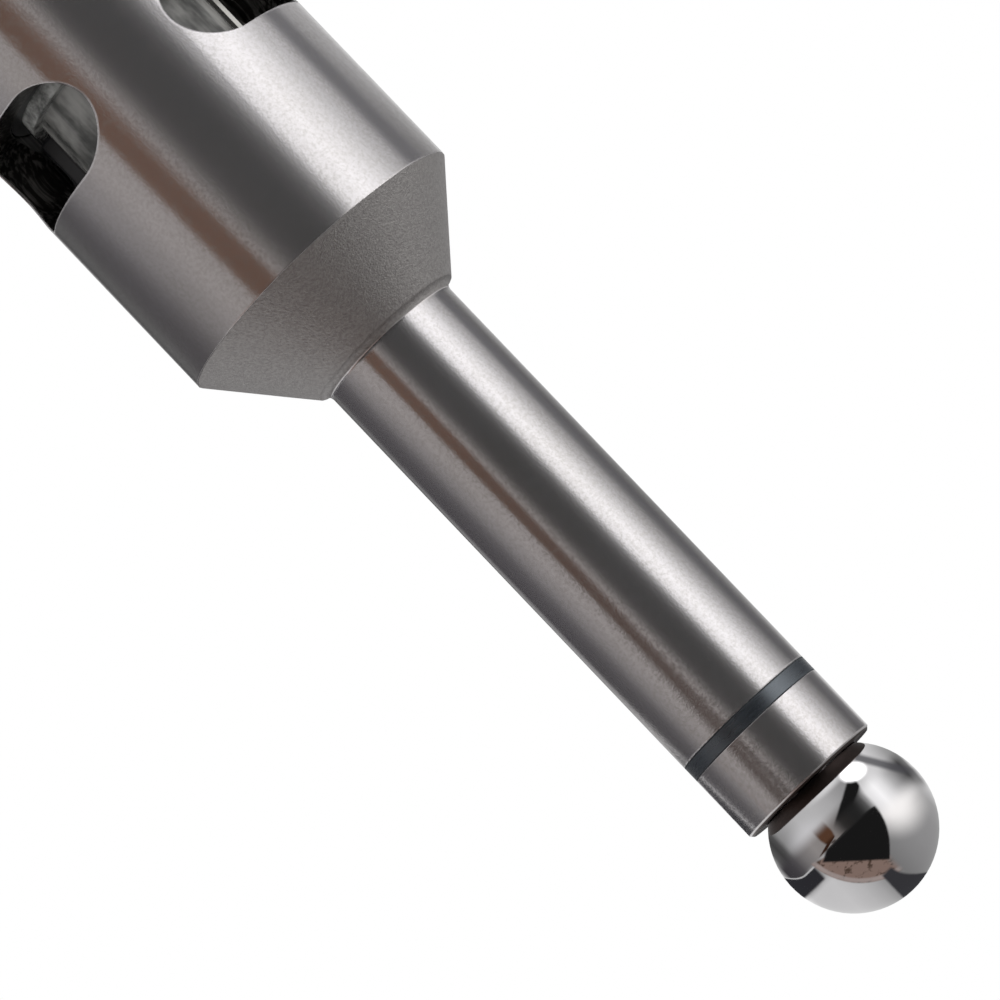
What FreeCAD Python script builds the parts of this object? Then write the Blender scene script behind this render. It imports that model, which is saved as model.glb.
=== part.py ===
"""Electronic edge finder with a spring-seated contact ball and a cylindrical clamping shank.

Millimetres and degrees. +Z runs up the axis, from the ball towards the battery cap. The origin is on
the axis at the gauge plane, inside the plain stretch of the shank that a collet clamps.
"""
import FreeCAD, Part
import math
import os

import Sketcher

Vector = FreeCAD.Vector
document = FreeCAD.newDocument("EdgeFinder")


# Driving dimensions
SIZES = {
    "ball_reach": 100,  # gauge plane down to the ball's centre
    "rear_reach": 50,  # gauge plane up to the barrel's rear face
    "fit_clearance": 0.03,  # radial room between pieces pushed together
    "running_clearance": 0.06,  # radial room between pieces that turn or slide
    # Contact ball and its stud
    "ball_diameter": 10,  # contact ball
    "ball_flat_diameter": 3.1,  # spot face on top of the ball
    "stud_diameter": 2.0,  # threaded shank screwed into the ball
    "stud_depth": 3.0,  # shank below the spot face
    "drill_room": 0.3,  # hole left below the stud
    "stud_flange_diameter": 2.4,  # stud's flange
    "stud_flange_thickness": 0.6,  # stud's flange
    "eye_rise": 2.25,  # spot face up to the eye's hole
    "eye_diameter": 2.2,  # rounded end of the stud's tongue
    "eye_hole": 1.1,  # hole that the swivel ring passes through
    "eye_thickness": 0.7,  # tongue's thickness
    # Seat collar, insulating bush and liner
    "seat_diameter": 7.04,  # sharp edge that the ball rests on
    "seat_gap": 0.035,  # room between ball and edge
    "seat_depth": 2.0,  # counterbore behind the edge
    "collar_bore": 5.2,  # bore through collar and liner
    "collar_length": 4.64,  # visible length of the collar
    "collar_edge": 0.2,  # chamfer round the collar's lower face
    "spigot_diameter": 6.3,  # collar's spigot inside the bush
    "spigot_length": 9.0,  # collar's spigot
    "ring_thickness": 1.07,  # visible ring of the insulating bush
    "sleeve_depth": 10.0,  # bush's sleeve inside the tube
    # Barrel
    "tube_diameter": 9.5,  # slim tube
    "tube_bore": 7.4,  # bore of the slim tube
    "tube_length": 30.0,  # insulating ring up to the throat
    "throat_radius": 0.6,  # concave run from the tube to the cone
    "cone_half_angle": 40,  # cone's side from the axis
    "barrel_diameter": 20,  # clamping shank
    "chamber_wall": 2.25,  # shank's wall round the chamber for lamp and cells
    "chamber_rise": 2.7,  # cone's large end up to the chamber's floor
    "window_height": 6.2,  # obround window, along the axis
    "window_land": 39.67,  # degrees of the shank's surface left between two windows
    "window_rise": 12.4,  # cone's large end up to the window
    "window_count": 3,  # windows round the barrel
    "rear_chamfer": 0.5,  # barrel's rear edge
    "mouth_wall": 0.9,  # wall round the pocket in the barrel's mouth
    "seal_ledge": 0.6,  # pocket's wall in to the thread
    "thread_length": 10.0,  # thread in the barrel's mouth
    "thread_pitch": 1.0,  # battery cap's thread
    "seal_pocket_depth": 1.5,  # pocket in the barrel's mouth
    "seal_section": 1.4,  # sealing ring's cord
    # Return spring, its end plug and the swivel
    "wire_diameter": 0.5,  # return spring's wire
    "coil_diameter": 3.8,  # return spring's mean coil
    "coil_turns": 15,  # return spring's turns
    "coil_length": 13.0,  # return spring at rest
    "ring_wire": 0.6,  # swivel ring's wire
    "ring_diameter": 2.0,  # swivel ring's mean diameter
    "swivel_diameter": 1.1,  # swivel's shank
    "swivel_neck": 0.6,  # top of the ring up to the plug
    "swivel_head_diameter": 2.2,  # swivel's head
    "swivel_head_thickness": 0.7,  # swivel's head
    "plug_flange_room": 0.3,  # radial room between that flange and the collar's bore
    "plug_flange_thickness": 0.8,  # flange under the return spring
    "plug_room": 0.1,  # radial room between coil and threaded ends
    "plug_length": 2.2,  # threaded part inside the coil
    # Anchor rod and its fixing on the chamber's floor
    "rod_diameter": 3.0,  # anchor and contact rod
    "rod_tip_diameter": 1.4,  # rod's tip under the circuit board
    "rod_tip_length": 2.5,  # rod's tip under the circuit board
    "bush_flange_room": 0.5,  # carrier's bore in to the rod bush's flange
    "bush_flange_thickness": 1.5,  # rod bush on the chamber's floor
    "bush_depth": 4.0,  # rod bush inside the tube
    "washer_diameter": 6.0,  # rod washer
    "washer_thickness": 0.5,  # rod washer
    "nut_flats": 5.5,  # rod nut across flats
    "nut_height": 2.4,  # rod nut
    # Lamp
    "chamber_clearance": 0.1,  # radial room round the carrier and the sleeve
    "sill_drop": 0.5,  # window's lower edge down to the carrier's top
    "carrier_rim": 0.65,  # carrier's wall round the circuit board
    "board_ledge": 1.0,  # carrier's ledge under the circuit board
    "board_thickness": 1.2,  # circuit board
    "resistor_length": 3.2,  # chip resistor
    "resistor_width": 1.6,  # chip resistor
    "resistor_height": 0.6,  # chip resistor
    "resistor_offset": 3.6,  # axis to the chip resistor's middle
    "lamp_diameter": 5.0,  # lamp's lens
    "lamp_flange_diameter": 5.8,  # lamp's flange
    "lamp_flange_thickness": 1.0,  # lamp's flange
    "lamp_height": 5.0,  # board up to the top of the lens
    "lead_diameter": 0.5,  # lamp's leads
    "lead_spacing": 2.54,  # lamp's leads
    "lead_stub": 0.6,  # leads below the board
    "guide_room": 0.8,  # chamber's fit in to the light guide's flange
    "guide_lip": 0.7,  # flange in to the light guide's wall
    "guide_wall": 1.25,  # light guide's wall round the lamp
    "guide_flange_thickness": 1.0,  # light guide's flange
    "guide_cover": 0.05,  # window's upper edge up to the guide's top
    "lamp_room": 0.35,  # lamp's lens up to the guide's roof
    # Cells and their contacts
    "sleeve_wall": 1.45,  # battery sleeve
    "sleeve_floor": 1.0,  # battery sleeve
    "sleeve_gap": 3.9,  # battery sleeve's end up to the cap's nose
    "strip_azimuth": 30,  # side of the barrel that the contact strip runs down
    "strip_width": 2.0,  # contact strip
    "strip_thickness": 0.3,  # contact strip
    "strip_room": 0.15,  # light guide's flange out to the strip
    "contact_room": 1.2,  # sleeve's bore in to the front contact's disc
    "contact_thickness": 0.4,  # front contact
    "cell_room": 0.2,  # radial room between cell and sleeve
    "cell_length": 30.2,  # battery cell over its terminal
    "cell_edge": 0.5,  # rounded edge of the can
    "terminal_diameter": 4.0,  # battery cell's terminal
    "terminal_length": 1.0,  # battery cell's terminal
    "battery_wire": 0.6,  # battery spring's wire
    "battery_coil_room": 1.0,  # cap's recess in to the battery spring
    "battery_coil_turns": 5,  # battery spring's turns
    # Battery cap
    "head_inset": 0.3,  # shank's surface in to the cap's head
    "head_length": 5.0,  # cap's head
    "head_chamfer": 0.8,  # cap's outer edge
    "head_gap": 0.05,  # cap's head above the barrel's rear face
    "pilot_length": 8.0,  # plain nose below the thread
    "nose_wall": 2.15,  # cap's nose round the recess for the cap contact
    "recess_depth": 2.5,  # recess for the cap contact
    "cap_contact_thickness": 0.5,  # cap contact
    "slot_width": 2.0,  # coin slot
    "slot_depth": 1.8,  # coin slot
}

# Heights on the axis and shared radii, worked out from the driving dimensions
LEVELS = {
    # Ball's centre
    "ball_centre": "=-Sizes.ball_reach",
    # Ball's centre up to its spot face
    "ball_flat": "=sqrt((Sizes.ball_diameter / 2)^2 - (Sizes.ball_flat_diameter / 2)^2)",
    # Collar's lower face
    "seat_edge": "=ball_centre + sqrt((Sizes.ball_diameter / 2 + Sizes.seat_gap)^2"
                 " - (Sizes.seat_diameter / 2)^2)",
    # Collar's shoulder
    "collar_top": "=seat_edge + Sizes.collar_length",
    # Barrel's lower face
    "ring_top": "=collar_top + Sizes.ring_thickness",
    # End of the slim tube
    "tube_top": "=ring_top + Sizes.tube_length",
    # Cone's small end
    "cone_bottom": "=tube_top + Sizes.throat_radius",
    # Radius of the cone's small end
    "cone_small": "=Sizes.tube_diameter / 2 + Sizes.throat_radius",
    # Cone's large end
    "cone_top": "=cone_bottom + (Sizes.barrel_diameter / 2 - cone_small) / tan(Sizes.cone_half_angle)",
    # Floor of the chamber
    "chamber_floor": "=cone_top + Sizes.chamber_rise",
    # Lower edge of the windows
    "window_bottom": "=cone_top + Sizes.window_rise",
    # Top of lamp carrier and board
    "carrier_top": "=window_bottom - Sizes.sill_drop",
    # Underside of the board
    "board_bottom": "=carrier_top - Sizes.board_thickness",
    # Light guide's height
    "guide_height": "=Sizes.sill_drop + Sizes.window_height + Sizes.guide_cover",
    # Battery sleeve's foot
    "sleeve_bottom": "=carrier_top + guide_height",
    # Front contact's seat
    "contact_seat": "=sleeve_bottom + Sizes.sleeve_floor",
    # Front cell's terminal
    "front_cell_base": "=contact_seat + Sizes.contact_thickness",
    # Rear cell's terminal
    "rear_cell_base": "=front_cell_base + Sizes.cell_length",
    # Rear cell's flat end
    "cell_top": "=rear_cell_base + Sizes.cell_length",
    # Battery cap's lower end
    "cap_nose": "=Sizes.rear_reach - Sizes.thread_length - Sizes.pilot_length",
    # Cap contact's lower face
    "cap_contact_face": "=cap_nose + Sizes.recess_depth - Sizes.cap_contact_thickness",
    # Top of the bush's sleeve
    "bush_foot": "=ring_top + Sizes.sleeve_depth",
    # Top of the tube's liner
    "liner_top": "=chamber_floor - Sizes.bush_depth",
    # Stud's eye
    "eye_centre": "=ball_centre + ball_flat + Sizes.eye_rise",
    # Spring plug's lower face
    "plug_bottom": "=eye_centre + Sizes.ring_diameter + Sizes.ring_wire / 2 + Sizes.swivel_neck",
    # Return spring's lower end
    "coil_bottom": "=plug_bottom + Sizes.plug_flange_thickness",
    # Return spring's upper end
    "coil_top": "=coil_bottom + Sizes.coil_length",
    # Anchor rod's lower end
    "rod_bottom": "=coil_top - Sizes.plug_length",
    # Top of the rod bush
    "washer_seat": "=chamber_floor + Sizes.bush_flange_thickness",
    # Rod nut's lower face
    "nut_seat": "=washer_seat + Sizes.washer_thickness",
    # Chamber for lamp and cells
    "chamber_radius": "=Sizes.barrel_diameter / 2 - Sizes.chamber_wall",
    # Radius of what fills the chamber
    "chamber_fit": "=chamber_radius - Sizes.chamber_clearance",
    # Width of the obround windows
    "window_width": "=Sizes.barrel_diameter * sin(180 / Sizes.window_count - Sizes.window_land / 2)",
    # Radius of what is pushed into the tube
    "tube_fit": "=Sizes.tube_bore / 2 - Sizes.fit_clearance",
    # Circuit board
    "board_radius": "=chamber_fit - Sizes.carrier_rim",
    # Room under the circuit board
    "carrier_bore_radius": "=board_radius - Sizes.board_ledge",
    # Light guide's flange
    "guide_flange_radius": "=chamber_fit - Sizes.guide_room",
    # Light guide's wall
    "guide_radius": "=guide_flange_radius - Sizes.guide_lip",
    # Battery sleeve's bore
    "sleeve_bore_radius": "=chamber_fit - Sizes.sleeve_wall",
    # Battery cell
    "cell_radius": "=sleeve_bore_radius - Sizes.cell_room",
    # Front contact's disc
    "contact_radius": "=sleeve_bore_radius - Sizes.contact_room",
    # Contact strip's inner side
    "strip_radius": "=guide_flange_radius + Sizes.strip_room",
    # Threaded ends inside the return spring
    "plug_radius": "=Sizes.coil_diameter / 2 - Sizes.wire_diameter / 2 - Sizes.plug_room",
    # Pocket in the barrel's mouth
    "pocket_radius": "=Sizes.barrel_diameter / 2 - Sizes.mouth_wall",
    # Battery cap's thread
    "thread_radius": "=pocket_radius - Sizes.seal_ledge",
    # Middle of the sealing ring's cord
    "seal_radius": "=pocket_radius - Sizes.seal_section / 2 - Sizes.fit_clearance",
    # Recess in the cap's nose
    "recess_radius": "=chamber_fit - Sizes.nose_wall",
    # Mean radius of the battery spring
    "battery_coil_radius": "=recess_radius - Sizes.battery_coil_room - Sizes.battery_wire / 2",
    # Cap's head
    "head_radius": "=Sizes.barrel_diameter / 2 - Sizes.head_inset",
}


def write_sheet(name, cells):
    """Fill one spreadsheet, with an aliased cell for each value or formula."""
    sheet = document.addObject("Spreadsheet::Sheet", name)
    for row, (alias, value) in enumerate(cells.items(), start=1):
        sheet.set(f"A{row}", alias.replace("_", " "))
        sheet.set(f"B{row}", str(value))
        sheet.setAlias(f"B{row}", alias)
    document.recompute()
    return sheet


sizes = write_sheet("Sizes", SIZES)
write_sheet("Levels", LEVELS)


# Helpers for sketches and bodies
def number(expression):
    """Value of an expression in the sheets' names."""
    value = sizes.evalExpression(expression)
    return float(getattr(value, "Value", value))


def start_body(label, height="0", azimuth="0"):
    """Empty body whose own origin stands at a height on the axis, turned by an azimuth."""
    body = document.addObject("PartDesign::Body", label)
    body.Label = label
    body.setExpression("Placement.Base.z", height)
    body.setExpression("Placement.Rotation.Angle", azimuth)
    return body


def start_sketch(body, name, role="XZ_Plane"):
    """Sketch on one of the body's own origin planes."""
    sketch = body.newObject("Sketcher::SketchObject", name)
    plane = next(item for item in body.Origin.OriginFeatures if item.Role == role)
    sketch.AttachmentSupport = [(plane, "")]
    sketch.MapMode = "FlatFace"
    return sketch


def place_point(sketch, geometry, position, across=None, along=None):
    """Tie a point of a sketch to expressions measured from the sketch's origin."""
    for kind, expression, axis in (("DistanceX", across, -2), ("DistanceY", along, -1)):
        if expression is None:
            continue
        if abs(number(expression)) < 1e-9:
            sketch.addConstraint(Sketcher.Constraint("PointOnObject", geometry, position, axis))
            continue
        index = sketch.addConstraint(
            Sketcher.Constraint(kind, -1, 1, geometry, position, number(expression)))
        sketch.setExpression(f"Constraints[{index}]", expression)


def draw_outline(sketch, points, arcs=None):
    """Closed outline; arcs maps a segment to its centre (across, along) and the way that it bulges."""
    arcs = arcs or {}
    corners = [Vector(number(across), number(along), 0) for across, along in points]
    ends = []
    for index, first in enumerate(corners):
        last = corners[(index + 1) % len(corners)]
        if index in arcs:
            across, along, bulge = arcs[index]
            centre = Vector(number(across), number(along), 0)
            middle = centre + Vector(*bulge, 0).normalize() * (first - centre).Length
            clockwise = (middle - first).cross(last - middle).z < 0
            way = (last, middle, first) if clockwise else (first, middle, last)
            sketch.addGeometry(Part.Arc(*way), False)
            ends.append((2, 1) if clockwise else (1, 2))
        else:
            sketch.addGeometry(Part.LineSegment(first, last), False)
            ends.append((1, 2))
    for index, (start, end) in enumerate(ends):
        after = (index + 1) % len(ends)
        sketch.addConstraint(Sketcher.Constraint("Coincident", index, end, after, ends[after][0]))
        place_point(sketch, index, start, *points[index])
    for index, (across, along, _) in arcs.items():
        chord = corners[(index + 1) % len(corners)] - corners[index]
        if abs(chord.y) < 1e-6:
            place_point(sketch, index, 3, along=along)
        else:
            place_point(sketch, index, 3, across=across)


def draw_circle(sketch, across, along, radius):
    """Circle tied to its centre and radius."""
    centre = Vector(number(across), number(along), 0)
    index = sketch.addGeometry(Part.Circle(centre, Vector(0, 0, 1), number(radius)), False)
    place_point(sketch, index, 3, across, along)
    constraint = sketch.addConstraint(Sketcher.Constraint("Radius", index, number(radius)))
    sketch.setExpression(f"Constraints[{constraint}]", radius)


def turn(body, name, points, arcs=None):
    """Revolve an outline, drawn as radius and height, about the body's axis."""
    sketch = start_sketch(body, name + "_outline")
    draw_outline(sketch, points, arcs)
    feature = body.newObject("PartDesign::Revolution", name)
    feature.Profile = sketch
    feature.ReferenceAxis = (sketch, ["V_Axis"])
    feature.Angle = 360
    return feature


def pad(body, name, sketch, length, both_ways=False):
    """Pad a sketch by an expression."""
    feature = body.newObject("PartDesign::Pad", name)
    feature.Profile = sketch
    feature.Midplane = both_ways
    feature.setExpression("Length", length)
    return feature


def pocket(body, name, sketch, length, upwards=False, both_ways=False):
    """Cut a sketch by an expression, and see that something was cut."""
    document.recompute()
    volume = body.Shape.Volume
    feature = body.newObject("PartDesign::Pocket", name)
    feature.Profile = sketch
    feature.Midplane = both_ways
    feature.Reversed = upwards
    feature.setExpression("Length", length)
    document.recompute()
    if body.Shape.Volume > volume - 1e-6:
        raise RuntimeError(f"{name} cuts nothing")
    return feature


def rectangle(left, right, low, high):
    """Four corners, anticlockwise."""
    return [(left, low), (right, low), (right, high), (left, high)]


def ring(label, base, bore_radius, radius, height):
    """Plain ring or disc standing at a height on the axis."""
    body = start_body(label, base)
    turn(body, label + "_turning", rectangle(bore_radius, radius, "0", height))
    return body


def coil(label, base, length, mean_radius, wire_diameter, turns):
    """Open coil between two faces, its wire drawn four-sided, with fit room at each face."""
    wire = number(wire_diameter) / 2
    radius = number(mean_radius)
    first = wire + number("Sizes.fit_clearance")
    climb = number(length) - 2 * first
    steps_per_turn = 12
    steps = round(number(turns) * steps_per_turn)
    sections = []
    for step in range(steps + 1):
        angle = 2 * math.pi * step / steps_per_turn
        outward = Vector(math.cos(angle), math.sin(angle), 0)
        upward = Vector(0, 0, 1)
        centre = outward * radius + upward * (first + climb * step / steps)
        sections.append([centre + way * wire for way in (outward, upward, -outward, -upward)])
    faces = [Part.Face(Part.makePolygon(section + section[:1])) for section in (sections[0], sections[-1])]
    for lower, upper in zip(sections, sections[1:]):
        for side in range(4):
            after = (side + 1) % 4
            for corners in ([lower[side], lower[after], upper[after]],
                            [lower[side], upper[after], upper[side]]):
                faces.append(Part.Face(Part.makePolygon(corners + corners[:1])))
    solid = Part.makeSolid(Part.makeShell(faces))
    if solid.Volume < 0:
        solid.reverse()
    feature = document.addObject("Part::Feature", label)
    feature.Label = label
    feature.Shape = solid
    feature.Placement = FreeCAD.Placement(Vector(0, 0, number(base)), FreeCAD.Rotation())
    return feature


# Barrel: one hardened piece of slim tube, cone and clamping shank
barrel = start_body("barrel")
turn(barrel, "barrel_turning", [
    ("Sizes.tube_bore / 2", "Levels.ring_top"),
    ("Sizes.tube_diameter / 2", "Levels.ring_top"),
    ("Sizes.tube_diameter / 2", "Levels.tube_top"),
    ("Levels.cone_small", "Levels.cone_bottom"),
    ("Sizes.barrel_diameter / 2", "Levels.cone_top"),
    ("Sizes.barrel_diameter / 2", "Sizes.rear_reach - Sizes.rear_chamfer"),
    ("Sizes.barrel_diameter / 2 - Sizes.rear_chamfer", "Sizes.rear_reach"),
    ("Levels.pocket_radius", "Sizes.rear_reach"),
    ("Levels.pocket_radius", "Sizes.rear_reach - Sizes.seal_pocket_depth"),
    ("Levels.thread_radius", "Sizes.rear_reach - Sizes.seal_pocket_depth"),
    ("Levels.thread_radius", "Sizes.rear_reach - Sizes.thread_length"),
    ("Levels.chamber_radius", "Sizes.rear_reach - Sizes.thread_length"),
    ("Levels.chamber_radius", "Levels.chamber_floor"),
    ("Sizes.tube_bore / 2", "Levels.chamber_floor"),
], {2: ("Levels.cone_small", "Levels.tube_top", (-1, 1))})

# Windows: a straight-milled obround through one wall, repeated round the axis
window_outline = start_sketch(barrel, "window_outline")
window_centre = "Levels.window_width / 2 - Sizes.window_height / 2"
window_middle = "Levels.window_bottom + Sizes.window_height / 2"
draw_outline(
    window_outline,
    rectangle(f"-({window_centre})", window_centre,
              "Levels.window_bottom", "Levels.window_bottom + Sizes.window_height"),
    {1: (window_centre, window_middle, (1, 0)), 3: (f"-({window_centre})", window_middle, (-1, 0))})
window = pocket(barrel, "window", window_outline, "Sizes.barrel_diameter")
windows = barrel.newObject("PartDesign::PolarPattern", "windows")
windows.Originals = [window]
windows.Axis = (window_outline, ["V_Axis"])
windows.Angle = 360
windows.setExpression("Occurrences", "Sizes.window_count")
barrel.Tip = windows

# Insulating bush: the visible ring, and the sleeve that keeps the collar off the barrel
bush = start_body("insulating_bush", "Levels.collar_top")
turn(bush, "bush_turning", [
    ("Sizes.spigot_diameter / 2 + Sizes.fit_clearance", "0"),
    ("Sizes.tube_diameter / 2", "0"),
    ("Sizes.tube_diameter / 2", "Sizes.ring_thickness"),
    ("Levels.tube_fit", "Sizes.ring_thickness"),
    ("Levels.tube_fit", "Sizes.ring_thickness + Sizes.sleeve_depth"),
    ("Sizes.spigot_diameter / 2 + Sizes.fit_clearance", "Sizes.ring_thickness + Sizes.sleeve_depth"),
])

# Seat collar: a sharp edge for the ball, a relief behind it and a spigot
collar = start_body("seat_collar", "Levels.seat_edge")
turn(collar, "collar_turning", [
    ("Sizes.seat_diameter / 2", "0"),
    ("Sizes.tube_diameter / 2 - Sizes.collar_edge", "0"),
    ("Sizes.tube_diameter / 2", "Sizes.collar_edge"),
    ("Sizes.tube_diameter / 2", "Sizes.collar_length"),
    ("Sizes.spigot_diameter / 2", "Sizes.collar_length"),
    ("Sizes.spigot_diameter / 2", "Sizes.collar_length + Sizes.spigot_length"),
    ("Sizes.collar_bore / 2", "Sizes.collar_length + Sizes.spigot_length"),
    ("Sizes.collar_bore / 2", "Sizes.seat_depth"),
    ("Sizes.seat_diameter / 2", "Sizes.seat_depth"),
])

# Contact ball, drilled from its spot face for the stud
ball = start_body("contact_ball", "Levels.ball_centre")
drill_end = "Levels.ball_flat - Sizes.stud_depth - Sizes.drill_room"
turn(ball, "ball_turning", [
    ("0", "-Sizes.ball_diameter / 2"),
    ("Sizes.ball_flat_diameter / 2", "Levels.ball_flat"),
    ("Sizes.stud_diameter / 2 + Sizes.fit_clearance", "Levels.ball_flat"),
    ("Sizes.stud_diameter / 2 + Sizes.fit_clearance", drill_end),
    ("0", drill_end),
], {0: ("0", "0", (1, 0))})

# Ball stud: threaded shank, flange and a flat tongue with the eye
stud = start_body("ball_stud", "Levels.ball_centre + Levels.ball_flat")
turn(stud, "stud_turning", [
    ("0", "-Sizes.stud_depth"),
    ("Sizes.stud_diameter / 2", "-Sizes.stud_depth"),
    ("Sizes.stud_diameter / 2", "0"),
    ("Sizes.stud_flange_diameter / 2", "0"),
    ("Sizes.stud_flange_diameter / 2", "Sizes.stud_flange_thickness"),
    ("0", "Sizes.stud_flange_thickness"),
])
tongue = start_sketch(stud, "tongue")
draw_outline(
    tongue,
    rectangle("-Sizes.eye_diameter / 2", "Sizes.eye_diameter / 2",
              "Sizes.stud_flange_thickness / 2", "Sizes.eye_rise"),
    {2: ("0", "Sizes.eye_rise", (0, 1))})
draw_circle(tongue, "0", "Sizes.eye_rise", "Sizes.eye_hole / 2")
pad(stud, "eye", tongue, "Sizes.eye_thickness", both_ways=True)

# Swivel: a ring linked through the eye, under a headed shank that turns in the spring plug
swivel = start_body("swivel_ring", "Levels.eye_centre")
ring_section = start_sketch(swivel, "ring_section")
ring_axis = Part.LineSegment(Vector(-1, 0, 0), Vector(1, 0, 0))
ring_axis.translate(Vector(0, number("Sizes.ring_diameter / 2"), 0))
ring_section.addGeometry(ring_axis, True)
ring_section.addConstraint(Sketcher.Constraint("Horizontal", 0))
place_point(ring_section, 0, 1, "-Sizes.ring_diameter / 2", "Sizes.ring_diameter / 2")
place_point(ring_section, 0, 2, "Sizes.ring_diameter / 2")
draw_circle(ring_section, "0", "0", "Sizes.ring_wire / 2")
bow = swivel.newObject("PartDesign::Revolution", "ring_bow")
bow.Profile = ring_section
bow.ReferenceAxis = (ring_section, ["Axis0"])
bow.Angle = 360
head_base = "Levels.coil_bottom + Sizes.plug_length + Sizes.running_clearance - Levels.eye_centre"
shank_base = "Sizes.ring_diameter - Sizes.ring_wire / 4"
turn(swivel, "swivel_turning", [
    ("0", shank_base),
    ("Sizes.swivel_diameter / 2", shank_base),
    ("Sizes.swivel_diameter / 2", head_base),
    ("Sizes.swivel_head_diameter / 2", head_base),
    ("Sizes.swivel_head_diameter / 2", f"{head_base} + Sizes.swivel_head_thickness"),
    ("0", f"{head_base} + Sizes.swivel_head_thickness"),
])

# Spring plug: screwed into the lower end of the return spring
plug = start_body("spring_plug", "Levels.plug_bottom")
plug_bore = "Sizes.swivel_diameter / 2 + Sizes.running_clearance"
plug_flange = "Sizes.collar_bore / 2 - Sizes.plug_flange_room"
plug_top = "Sizes.plug_flange_thickness + Sizes.plug_length"
turn(plug, "plug_turning", [
    (plug_bore, "0"),
    (plug_flange, "0"),
    (plug_flange, "Sizes.plug_flange_thickness"),
    ("Levels.plug_radius", "Sizes.plug_flange_thickness"),
    ("Levels.plug_radius", plug_top),
    (plug_bore, plug_top),
])

coil("return_spring", "Levels.coil_bottom", "Sizes.coil_length", "Sizes.coil_diameter / 2",
     "Sizes.wire_diameter", "Sizes.coil_turns")

# Anchor rod: carries the spring's upper end, and brings the contact up to the circuit board
rod = start_body("anchor_rod", "Levels.rod_bottom")
rod_tip = "Levels.board_bottom - Levels.rod_bottom"
turn(rod, "rod_turning", [
    ("0", "0"),
    ("Levels.plug_radius", "0"),
    ("Levels.plug_radius", "Sizes.plug_length"),
    ("Sizes.rod_diameter / 2", "Sizes.plug_length"),
    ("Sizes.rod_diameter / 2", f"{rod_tip} - Sizes.rod_tip_length"),
    ("Sizes.rod_tip_diameter / 2", f"{rod_tip} - Sizes.rod_tip_length"),
    ("Sizes.rod_tip_diameter / 2", rod_tip),
    ("0", rod_tip),
])

ring("tube_liner", "Levels.bush_foot", "Sizes.collar_bore / 2", "Levels.tube_fit",
     "Levels.liner_top - Levels.bush_foot")

# Rod bush, washer and nut: they hang the rod from the chamber's floor, insulated from the barrel
rod_fit = "Sizes.rod_diameter / 2 + Sizes.fit_clearance"
bush_flange = "Levels.carrier_bore_radius - Sizes.bush_flange_room"
rod_bush = start_body("rod_bush", "Levels.chamber_floor")
turn(rod_bush, "rod_bush_turning", [
    (rod_fit, "-Sizes.bush_depth"),
    ("Levels.tube_fit", "-Sizes.bush_depth"),
    ("Levels.tube_fit", "0"),
    (bush_flange, "0"),
    (bush_flange, "Sizes.bush_flange_thickness"),
    (rod_fit, "Sizes.bush_flange_thickness"),
])
ring("rod_washer", "Levels.washer_seat", rod_fit, "Sizes.washer_diameter / 2", "Sizes.washer_thickness")
nut = start_body("rod_nut", "Levels.nut_seat")
hexagon = start_sketch(nut, "hexagon", "XY_Plane")
draw_outline(hexagon, [
    (f"Sizes.nut_flats / 2 / cos(30) * cos({angle})", f"Sizes.nut_flats / 2 / cos(30) * sin({angle})")
    for angle in range(0, 360, 60)])
draw_circle(hexagon, "0", "0", rod_fit)
pad(nut, "nut_block", hexagon, "Sizes.nut_height")

# Lamp carrier: holds the circuit board just below the windows
carrier = start_body("lamp_carrier", "Levels.chamber_floor")
turn(carrier, "carrier_turning", [
    ("Levels.carrier_bore_radius", "0"),
    ("Levels.chamber_fit", "0"),
    ("Levels.chamber_fit", "Levels.carrier_top - Levels.chamber_floor"),
    ("Levels.board_radius + Sizes.fit_clearance", "Levels.carrier_top - Levels.chamber_floor"),
    ("Levels.board_radius + Sizes.fit_clearance", "Levels.board_bottom - Levels.chamber_floor"),
    ("Levels.carrier_bore_radius", "Levels.board_bottom - Levels.chamber_floor"),
])

# Circuit board, with a hole for each lead of the lamp
board = start_body("circuit_board", "Levels.board_bottom")
board_outline = start_sketch(board, "board_outline", "XY_Plane")
draw_circle(board_outline, "0", "0", "Levels.board_radius")
for side in ("-", ""):
    draw_circle(board_outline, f"{side}Sizes.lead_spacing / 2", "0",
                "Sizes.lead_diameter / 2 + Sizes.fit_clearance")
pad(board, "board_plate", board_outline, "Sizes.board_thickness")

resistor = document.addObject("Part::Box", "resistor")
resistor.Label = "resistor"
resistor.setExpression("Length", "Sizes.resistor_length")
resistor.setExpression("Width", "Sizes.resistor_width")
resistor.setExpression("Height", "Sizes.resistor_height")
resistor.setExpression("Placement.Base.x", "-Sizes.resistor_length / 2")
resistor.setExpression("Placement.Base.y", "Sizes.resistor_offset - Sizes.resistor_width / 2")
resistor.setExpression("Placement.Base.z", "Levels.board_bottom - Sizes.resistor_height")

# Lamp: flange, domed lens and two leads through the board
lamp = start_body("lamp", "Levels.carrier_top")
turn(lamp, "lens", [
    ("0", "0"),
    ("Sizes.lamp_flange_diameter / 2", "0"),
    ("Sizes.lamp_flange_diameter / 2", "Sizes.lamp_flange_thickness"),
    ("Sizes.lamp_diameter / 2", "Sizes.lamp_flange_thickness"),
    ("Sizes.lamp_diameter / 2", "Sizes.lamp_height - Sizes.lamp_diameter / 2"),
    ("0", "Sizes.lamp_height"),
], {4: ("0", "Sizes.lamp_height - Sizes.lamp_diameter / 2", (1, 1))})
for side, name in (("-", "lead_low"), ("", "lead_high")):
    lead = start_sketch(lamp, name + "_outline", "XY_Plane")
    draw_circle(lead, f"{side}Sizes.lead_spacing / 2", "0", "Sizes.lead_diameter / 2")
    pad(lamp, name, lead, "Sizes.board_thickness + Sizes.lead_stub").Reversed = True

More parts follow.
